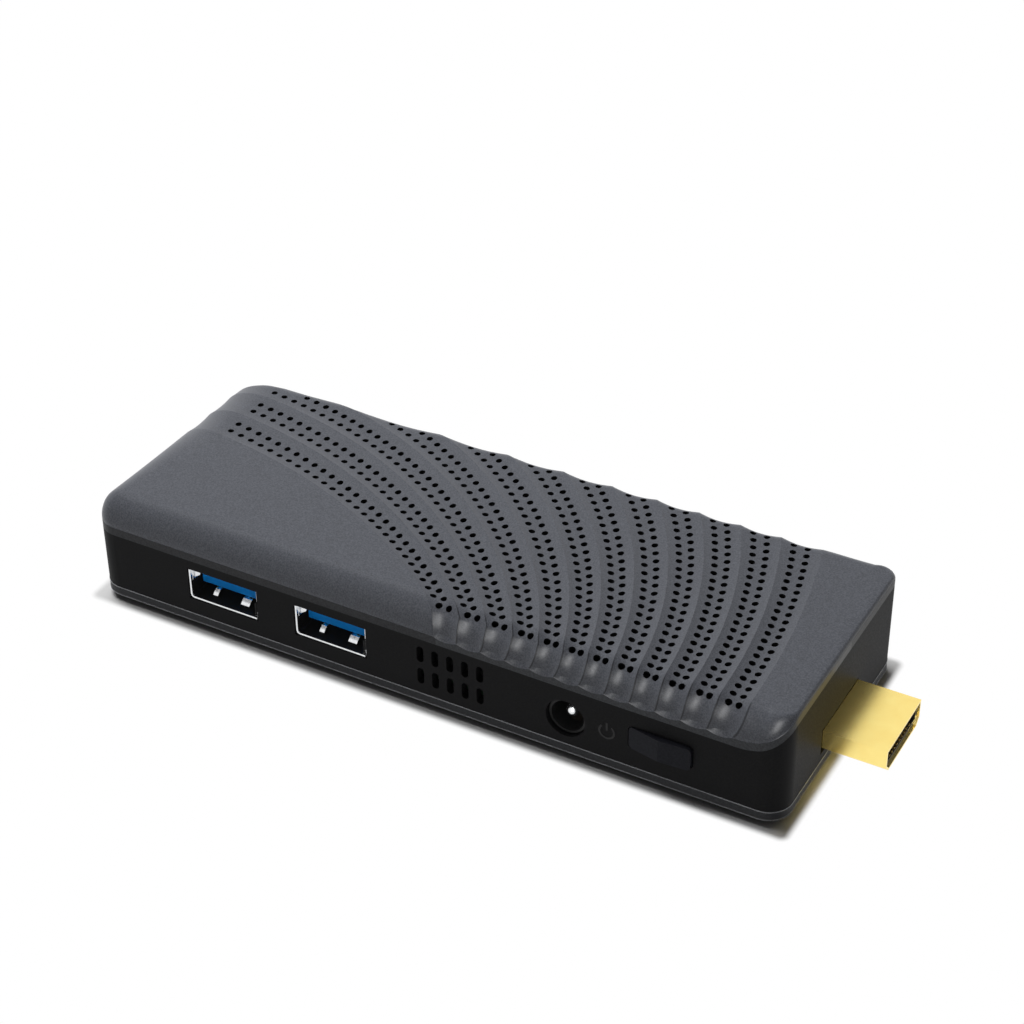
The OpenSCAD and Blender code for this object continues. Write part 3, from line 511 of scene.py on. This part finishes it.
def edge_profiles(columns):
    """Way in from the edge and height of each column's points on the rounding, and its ledge's height."""
    joins = np.array([c[0] for c in columns])
    outs = np.array([c[2] for c in columns])
    ring = len(columns)
    bases = joins + outs * JOIN
    starts, falls = edge_of(joins[:, 0], joins[:, 1])
    starts = np.minimum(starts, 1.0)
    ledges = low_edge(np.array([c[1][0] for c in columns])) + LIP_H
    reaches = np.full((ring, DROPS + 1), JOIN)
    heights = np.zeros((ring, DROPS + 1))
    for i in range(DROPS + 1):
        angle = np.arcsin(starts) + (math.pi / 2 - np.arcsin(starts)) * i / DROPS
        near, far = np.zeros(ring), np.full(ring, JOIN)
        for _ in range(30):
            middle = (near + far) / 2
            p = bases - outs * middle[:, None]
            steep = edge_of(p[:, 0], p[:, 1])[0] > np.sin(angle) - 1e-9
            near, far = np.where(steep, middle, near), np.where(steep, far, middle)
        if i:
            reaches[:, i] = near if i < DROPS else 0.0
        heights[:, i] = TOP - (falls + (TOP - ledges - falls) * i / DROPS) * (1 - np.cos(angle))
    return reaches, heights, ledges


def add_edge(columns, verts, index_of):
    """Adds the points of the rounded edge and the lip, and gives each column's points from the join down."""
    rows = []
    profiles = zip(columns, *edge_profiles(columns))
    for number, ((join, foot, out), reach_in, height, ledge) in enumerate(profiles):
        place = round(float(flute_at(join[0], join[1])) * SPLIT, 3) / SPLIT
        depth = float(scallop(np.array(place), join[0], join[1]))
        along = np.array([-out[1], out[0]])
        shift = float(np.dot(join - foot, along))
        gone = [0.0]
        for i in range(DROPS):
            gone.append(gone[-1] + math.hypot(reach_in[i + 1] - reach_in[i], height[i + 1] - height[i]))
        # A flute leaves the top in its own direction and bends towards its place on the lip
        total = gone[-1]
        first = shift
        if out[1] == -1 and 0 <= place <= FLUTES:
            cx, cy, _ = flute_arc(place)
            first = -total * float((join[1] - cy) / (join[0] - cx))
            first = min(max(first, min(LEAN * shift, -FREE_LEAN)), max(LEAN * shift, FREE_LEAN))
        elif out[1] == -1:
            first = LEAN * shift if place < 0 else 0.0
        column = [index_of[number]]
        shallow = depth * LIP_DEPTH / FLUTE_DEPTH
        dip = LIP_DIP * depth / FLUTE_DEPTH
        for i in range(1, DROPS + 1):
            v = 1 - gone[i] / total
            aside = (2 * shift - first) * v + (first - shift) * v * v
            after = min(i + 1, DROPS)
            tilt = math.atan2(height[i - 1] - height[after], max(reach_in[i - 1] - reach_in[after], 1e-6))
            sunk = shallow + (depth - shallow) * v
            d, z = reach_in[i] + sunk * math.sin(tilt), height[i] - sunk * math.cos(tilt)
            if i == DROPS:
                d, z = LIP_IN, ledge - dip + LIP_OVER
            plan = foot - out * d + along * aside
            column.append(len(verts))
            verts.append([plan[0], plan[1], z])
        low = ledge - LIP_H
        for d, z in ((0.0, ledge - dip), (0.0, low), (COVER_WALL, low)):
            plan = foot - out * d
            column.append(len(verts))
            verts.append([plan[0], plan[1], z])
        rows.append(column)
    return rows


def shade_cover(mesh, flat, place, on_crest, walls):
    """Shading that follows the true surface on the top and at the join, with a fold at each crest."""
    cx, cy, radius = flute_arc(np.round(np.clip(place, 0, FLUTES)))
    step = np.stack([flat[:, 0] - cx, flat[:, 1] - cy], axis=-1) / radius[:, None] * 0.05
    plain = top_normals(flat[:, 0], flat[:, 1])
    lower = top_normals(flat[:, 0] - step[:, 0], flat[:, 1] - step[:, 1])
    upper = top_normals(flat[:, 0] + step[:, 0], flat[:, 1] + step[:, 1])
    shading = np.zeros((len(mesh.loops), 3))
    for face in mesh.polygons:
        known = [v for v in face.vertices if v < len(flat)]
        if face.index in walls or not known:
            continue
        middle = place[known].mean()
        for loop, v in zip(face.loop_indices, face.vertices):
            if v < len(flat) and on_crest[v]:
                shading[loop] = lower[v] if middle < place[v] else upper[v]
            elif v < len(flat):
                shading[loop] = plain[v]
    mesh.normals_split_custom_set([tuple(n) for n in shading])


def make_cover():
    columns = edge_columns()
    holes = vent_holes()
    flat, kept, index_of, rims, ridge = cover_plan(columns, holes)
    verts = [list(p) for p in cover_top(flat[:, 0], flat[:, 1])]

    # Walls of the vent holes, drawn in the frame's black ABS
    first_wall = len(kept)
    inward = top_normals(holes[:, 0], holes[:, 1]) * -COVER_WALL
    for rim, way in zip(rims, inward):
        top = [index_of[i] for i in rim]
        low = list(range(len(verts), len(verts) + HOLE_SIDES))
        verts += [[verts[i][k] + way[k] for k in range(3)] for i in top]
        for i in range(HOLE_SIDES):
            j = (i + 1) % HOLE_SIDES
            kept.append([top[i], top[j], low[j], low[i]])
    walls = range(first_wall, len(kept))

    # Rounded edge and lip
    rows = add_edge(columns, verts, index_of)
    lip_faces, scallop_faces = [], []
    for i, (_, foot, _) in enumerate(columns):
        a, b = rows[i], rows[(i + 1) % len(rows)]
        on_lip = scallop_faces if foot[0] > LIP_FIRST and foot[1] < MID_Y else lip_faces
        for k in range(len(a) - 1):
            if k > DROPS:
                on_lip.append(len(kept))
            kept.append([a[k], a[k + 1], b[k + 1], b[k]])

    mesh = bpy.data.meshes.new("top_cover_skin")
    mesh.from_pydata([[c * MM for c in v] for v in verts], [], kept)
    # Crests carry a mark for their line of painted shade, which fades out on the top and beside the plain
    # part
    crest_shade = np.zeros(len(verts))
    place = flute_at(flat[:, 0], flat[:, 1])
    on_crest = (np.abs(place - np.round(place)) < 0.01) & (place > -0.01) & (place < FLUTES + 0.01)
    strength = np.where(place < 0.5, 0.72, 1.0)
    lined = np.array([index_of[i] for i in ridge])
    crest_shade[lined] = (strength * np.clip((FRONT + LINE_END - flat[:, 1]) / LINE_FADE, 0, 1))[lined]
    for column, (_, _, out) in zip(rows, columns):
        if on_crest[column[0]] and out[1] == -1:
            crest_shade[column[:DROPS + 1]] = strength[column[0]]
    mesh.attributes.new("crest", "FLOAT", "POINT").data.foreach_set("value", crest_shade)
    face_outwards(mesh)
    mesh.shade_smooth()
    mesh.set_sharp_from_angle(angle=math.radians(24))
    shade_cover(mesh, flat, place, on_crest, walls)
    cover = bpy.data.objects.new("fluted_top_cover", mesh)
    scene.collection.objects.link(cover)
    # The scalloped lip takes the lighter copy of the lip's lacquer, which is painted light
    areas = (COVER_LACQUER, ()), (FRAME_ABS, walls), (BASE_LACQUER, lip_faces), (LIP_LACQUER, scallop_faces)
    for number, (finish, faces) in enumerate(areas):
        cover.data.materials.append(finish)
        for face in faces:
            mesh.polygons[face].material_index = number
    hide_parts("top_cover")
    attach(cover, "case")


# Sockets' inside and the power symbol
# Thickness of the sockets' sheet, and how far in from the front their rolled mouth and their black sheet of
# painted shade run
SHEET = 0.2
MOUTH_RUN, SOCKET_SHADE_RUN = (0.15, 0.72), (0.2, 9.0)


def sweep(verts, faces, path, half):
    """Flat strip of sheet along points (x, y, z), with that half width in x."""
    first = len(verts)
    for i, (x, y, z) in enumerate(path):
        before, after = path[max(i - 1, 0)], path[min(i + 1, len(path) - 1)]
        run = math.hypot(after[1] - before[1], after[2] - before[2])
        ny, nz = -(after[2] - before[2]) / run * SHEET / 2, (after[1] - before[1]) / run * SHEET / 2
        verts += [(x - half, y + ny, z + nz), (x + half, y + ny, z + nz),
                  (x + half, y - ny, z - nz), (x - half, y - ny, z - nz)]
    for i in range(len(path) - 1):
        a = first + 4 * i
        faces += [(a + k, a + (k + 1) % 4, a + 4 + (k + 1) % 4, a + 4 + k) for k in range(4)]
    last = first + 4 * (len(path) - 1)
    faces += [(first + 3, first + 2, first + 1, first), (last, last + 1, last + 2, last + 3)]


def new_piece(name, verts, faces, finish, slot):
    """Piece on the case's body, from points in millimetres."""
    mesh = bpy.data.meshes.new(name)
    mesh.from_pydata([[c * MM for c in v] for v in verts], [], faces)
    face_outwards(mesh)
    piece = bpy.data.objects.new(name, mesh)
    scene.collection.objects.link(piece)
    piece.data.materials.append(finish)
    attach(piece, "case")


# Sections across a socket, as x from its middle and z: outer and inner line of the sheet's rolled mouth
# along its left and lower edges, and the black sheet of painted shade over its floor and the lower half of
# both side walls
MOUTH_ROLL = [((-6.55, 11.7), (-6.25, 11.7)), ((-6.55, 6.7), (-6.25, 6.8)), ((-6.4, 6.3), (-6.15, 6.5)),
              ((-6.0, 6.1), (-5.9, 6.4)), ((6.4, 6.1), (6.4, 6.4))]
SOCKET_SHADE = [(-6.12, 9.2), (-6.12, 6.9), (-5.75, USB_FLOOR + 0.06),
          (5.75, USB_FLOOR + 0.06), (6.12, 6.9), (6.12, 9.2)]
# Folded corner of the sheet at the upper left of the mouth, as x, way in from the front, and z
FOLD = [(-6.15, 1.1, 11.2), (-4.95, 1.25, 11.2), (-5.2, 1.25, 10.3), (-6.15, 1.1, 9.7)]
# Spring fingers: x and half width of each, and their rise as way in from the front and height over the floor
FINGERS = ((-2.5, 0.45), (3.3, 0.8))
FINGER_RISE = [(5.2, 0.1), (4.4, 0.5), (3.6, 0.95), (2.9, 1.2), (2.3, 1.15), (1.8, 0.8), (1.45, 0.45)]


def make_sockets():
    """Black sheet of painted shade low in each socket, the spring fingers that press on a plug, and the
    rolled mouths.
    """
    socket_shade, fingers, mouths = ([], []), ([], []), ([], [])
    for middle in USB_X:
        first = len(mouths[0])
        for pair in MOUTH_ROLL:
            for y in MOUTH_RUN:
                mouths[0].extend((middle + x, FRONT + y, z) for x, z in pair)
        for k in range(len(MOUTH_ROLL) - 1):
            a = first + 4 * k
            mouths[1].extend([(a, a + 1, a + 5, a + 4), (a + 2, a, a + 4, a + 6),
                              (a + 1, a + 3, a + 7, a + 5)])
        first = len(socket_shade[0])
        for y in SOCKET_SHADE_RUN:
            socket_shade[0].extend((middle + x, FRONT + y, z) for x, z in SOCKET_SHADE)
        for k in range(len(SOCKET_SHADE) - 1):
            socket_shade[1].append((first + k, first + k + 1, first + 7 + k, first + 6 + k))
        first = len(fingers[0])
        fingers[0].extend((middle + x, FRONT + y + d, z) for d in (0, SHEET) for x, y, z in FOLD)
        near, far = range(first, first + 4), range(first + 4, first + 8)
        fingers[1].extend([tuple(near), tuple(reversed(far))])
        fingers[1].extend((near[k], near[(k + 1) % 4], far[(k + 1) % 4], far[k]) for k in range(4))
        for x, half in FINGERS:
            sweep(*fingers, [(middle + x, FRONT + y, USB_FLOOR + z) for y, z in FINGER_RISE], half)
    # The black sheet stands in for the shade low in each socket: painted shade
    new_piece("usb_painted_shade", *socket_shade, CORE_POLYMER, "core_black")
    new_piece("usb_spring_fingers", *fingers, PORT_NICKEL, "port_nickel")
    new_piece("usb_mouths", *mouths, PORT_NICKEL, "port_nickel")


def make_symbol():
    """Shallow ring-and-bar power symbol moulded beside the button."""
    verts, faces = [], []
    x, z, radius, half, proud = 28.0, 8.1, 1.25, 0.16, 0.05
    steps = 36
    for i in range(steps + 1):
        a = math.radians(130 + 280 * i / steps)
        for r, y in ((radius - half, FRONT), (radius - half, FRONT - proud), (radius + half, FRONT - proud),
                     (radius + half, FRONT)):
            verts.append((x + r * math.cos(a), y, z + r * math.sin(a)))
    for i in range(steps):
        a = 4 * i
        faces += [(a + k, a + k + 1, a + 5 + k, a + 4 + k) for k in range(3)]
    first = len(verts)
    faces += [(0, 1, 2, 3), (first - 1, first - 2, first - 3, first - 4)]
    low, high = z + 0.2, z + 1.75
    for y in (FRONT, FRONT - proud):
        verts += [(x - half, y, low), (x + half, y, low), (x + half, y, high), (x - half, y, high)]
    faces += [(first + 4, first + 5, first + 6, first + 7)]
    faces += [(first + k, first + (k + 1) % 4, first + 4 + (k + 1) % 4, first + 4 + k) for k in range(4)]
    new_piece("power_symbol", verts, faces, CORE_POLYMER, "frame_black")


def make_base_highlights():
    """Painted highlight on the bottom cover's broken edges: a thin light bead round its upper and its lower
    edge.
    """
    verts, faces = [], []
    sunk, proud, tall, steps = 0.1, 0.06, 0.24, 12
    outline = []
    for cx, cy, first in ((RIGHT - CORNER, FRONT + CORNER, -90), (RIGHT - CORNER, BACK - CORNER, 0),
                          (LEFT + CORNER, BACK - CORNER, 90), (LEFT + CORNER, FRONT + CORNER, 180)):
        for i in range(steps + 1):
            a = math.radians(first + 90 * i / steps)
            outline.append((cx, cy, math.cos(a), math.sin(a)))
    count = len(outline)
    for level, height in ((BASE_TOP - 0.02, -tall), (FOOT + 0.02, tall)):
        first = len(verts)
        for cx, cy, ox, oy in outline:
            for out, rise in ((-sunk, 0.0), (proud, height * 0.25), (proud, height * 0.75), (-sunk, height)):
                verts.append((cx + ox * (CORNER + out), cy + oy * (CORNER + out), level + rise))
        for i in range(count):
            a, b = first + 4 * i, first + 4 * ((i + 1) % count)
            faces += [(a + k, a + (k + 1) % 4, b + (k + 1) % 4, b + k) for k in range(4)]
    new_piece("bottom_cover_painted_highlights", verts, faces, EDGE_HIGHLIGHT, "base_grey")


# Carried-over solids

FINISHES = {
    "mid_frame": FRAME_ABS, "bottom_cover": BASE_LACQUER, "feet": FOOT_RUBBER, "case_screws": SCREW_ZINC,
    "power_button": BUTTON_ABS, "main_board": BOARD_MASK, "board_screws": SCREW_ZINC,
    "processor": CHIP_EPOXY, "thermal_pad": PAD_SILICONE, "heat_sink": SINK_ANODISED,
    "heat_sink_screws": SCREW_ZINC, "memory_chips": CHIP_EPOXY, "storage_chip": CHIP_EPOXY,
    "power_chips": CHIP_EPOXY, "inductors": FERRITE, "wireless_module": TINNED_SHEET,
    "antenna": CONTACT_GOLD, "antenna_lead": LEAD_JACKET, "clock_cell": TINNED_SHEET,
    "cell_holder": CHIP_EPOXY, "fan_housing": FAN_PBT, "fan_lid": FAN_PBT, "fan_screws": SCREW_ZINC,
    "fan_bearing": BEARING_BRONZE, "fan_stator": COIL_COPPER, "fan_wheel": FAN_PBT,
    "fan_shaft": SCREW_ZINC, "fan_magnet": FERRITE, "usb_shell_left": PORT_NICKEL,
    "usb_shell_right": PORT_NICKEL, "usb_tongue_left": TONGUE_PBT, "usb_tongue_right": TONGUE_PBT,
    "usb_contacts": CONTACT_GOLD, "hdmi_shell": PLUG_GOLD, "hdmi_core": CORE_POLYMER,
    "hdmi_contacts": CONTACT_GOLD, "dc_jack_body": CORE_POLYMER, "dc_jack_pin": PORT_NICKEL,
    "dc_jack_contact": SPRING_BRONZE, "switch_body": CHIP_EPOXY, "switch_plunger": PLUNGER_NYLON,
}
# Broken edges in millimetres, where light catches them
SOFT_EDGES = {"mid_frame": 0.1, "bottom_cover": 0.1, "power_button": 0.15, "hdmi_shell": 0.12,
              "usb_shell_left": 0.06, "usb_shell_right": 0.06, "feet": 0.3}


def dress_solids():
    for name, finish in FINISHES.items():
        solid = solids[name]
        solid.data.materials.clear()
        solid.data.materials.append(finish)
        if name in SOFT_EDGES:
            soft = solid.modifiers.new("broken_edges", "BEVEL")
            soft.width = SOFT_EDGES[name] * MM
            soft.segments = 2
            soft.limit_method = "ANGLE"
            soft.angle_limit = math.radians(40)
            soft.harden_normals = True


# Floor, backdrop and lamps
# Way out from the case's outline over which the floor turns white, in millimetres
FLOOR_FADE = (0.4, 2.0)
# Light that the backdrop gives to the object, where 1 is white
BACKDROP = 0.05
# Name, place and power of each lamp, and its width and length, in metres and watts
LAMPS = (("soft_box_above", (-0.27, 0.10, 0.55), 3.2, 0.4, 0.4),
         ("strip_front", (0.22, -0.74, 0.32), 14.0, 0.3, 0.8))


def clear_sight(tree):
    """1 for rays that see the backdrop: from the camera, off shiny surfaces or through clear ones."""
    path = add(tree, "ShaderNodeLightPath")
    seen = add(tree, "ShaderNodeMath", {0: path.outputs["Is Camera Ray"], 1: path.outputs["Is Glossy Ray"]},
               operation="MAXIMUM")
    clear = add(tree, "ShaderNodeMath", {0: seen.outputs[0], 1: path.outputs["Is Transmission Ray"]},
                operation="MAXIMUM")
    return clear.outputs[0]


def pale_floor():
    """Floor that takes the object's shadow close to it and runs out into the white backdrop."""
    material = bpy.data.materials.new("pale_floor")
    material.use_nodes = True
    tree = material.node_tree
    shader = tree.nodes["Principled BSDF"]
    shader.inputs["Base Color"].default_value = (0.85, 0.85, 0.85, 1)
    shader.inputs["Roughness"].default_value = 0.9
    shader.inputs["Specular IOR Level"].default_value = 0.0
    where = add(tree, "ShaderNodeTexCoord")
    middle = add(tree, "ShaderNodeVectorMath", {
        0: where.outputs["Object"], 1: (MID_X * MM, MID_Y * MM, 0)}, operation="SUBTRACT")
    mirrored = add(tree, "ShaderNodeVectorMath", {0: middle.outputs["Vector"]}, operation="ABSOLUTE")
    beyond = add(tree, "ShaderNodeVectorMath", {
        0: mirrored.outputs["Vector"], 1: ((RIGHT - LEFT) / 2 * MM, (BACK - FRONT) / 2 * MM, 0)},
        operation="SUBTRACT")
    outside = add(tree, "ShaderNodeVectorMath", {0: beyond.outputs["Vector"], 1: (0, 0, 0)},
                  operation="MAXIMUM")
    away = add(tree, "ShaderNodeVectorMath", {0: outside.outputs["Vector"]}, operation="LENGTH")
    far = add(tree, "ShaderNodeMapRange", {
        "Value": away.outputs["Value"], "From Min": FLOOR_FADE[0] * MM, "From Max": FLOOR_FADE[1] * MM},
        interpolation_type="SMOOTHSTEP")
    share = add(tree, "ShaderNodeMath", {0: far.outputs["Result"], 1: clear_sight(tree)},
                operation="MULTIPLY")
    white = add(tree, "ShaderNodeEmission", {"Color": (1, 1, 1, 1), "Strength": 1.0})
    both = add(tree, "ShaderNodeMixShader", {0: share.outputs[0], 1: shader.outputs[0], 2: white.outputs[0]})
    tree.links.new(both.outputs[0], tree.nodes["Material Output"].inputs["Surface"])
    return material


def make_stage():
    floor_mesh = bpy.data.meshes.new("floor")
    half = 6.0
    floor_mesh.from_pydata([(-half, -half, 0), (half, -half, 0), (half, half, 0), (-half, half, 0)], [],
                           [(0, 1, 2, 3)])
    floor = bpy.data.objects.new("floor", floor_mesh)
    scene.collection.objects.link(floor)
    floor.data.materials.append(pale_floor())

    world = bpy.data.worlds.new("studio")
    scene.world = world
    world.use_nodes = True
    tree = world.node_tree
    ground = tree.nodes["Background"]
    ground.inputs["Color"].default_value = (1, 1, 1, 1)
    glow = add(tree, "ShaderNodeMapRange", {"Value": clear_sight(tree), "To Min": BACKDROP, "To Max": 1.0})
    tree.links.new(glow.outputs["Result"], ground.inputs["Strength"])

    for name, place, power, width, length in LAMPS:
        lamp = bpy.data.lights.new(name, "AREA")
        lamp.energy = power
        lamp.shape = "RECTANGLE"
        lamp.size = width
        lamp.size_y = length
        box = bpy.data.objects.new(name, lamp)
        box.location = place
        box.rotation_mode = "QUATERNION"
        box.rotation_quaternion = (Vector((0, 0, 0.01)) - Vector(place)).to_track_quat("-Z", "Y")
        # The strip is for the sheen alone, and the box above for the light alone
        box.visible_diffuse = name != "strip_front"
        box.visible_glossy = name == "strip_front"
        scene.collection.objects.link(box)
    scene.view_settings.view_transform = "Standard"


make_camera()
make_cover()
make_sockets()
make_symbol()
make_base_highlights()
dress_solids()
make_stage()
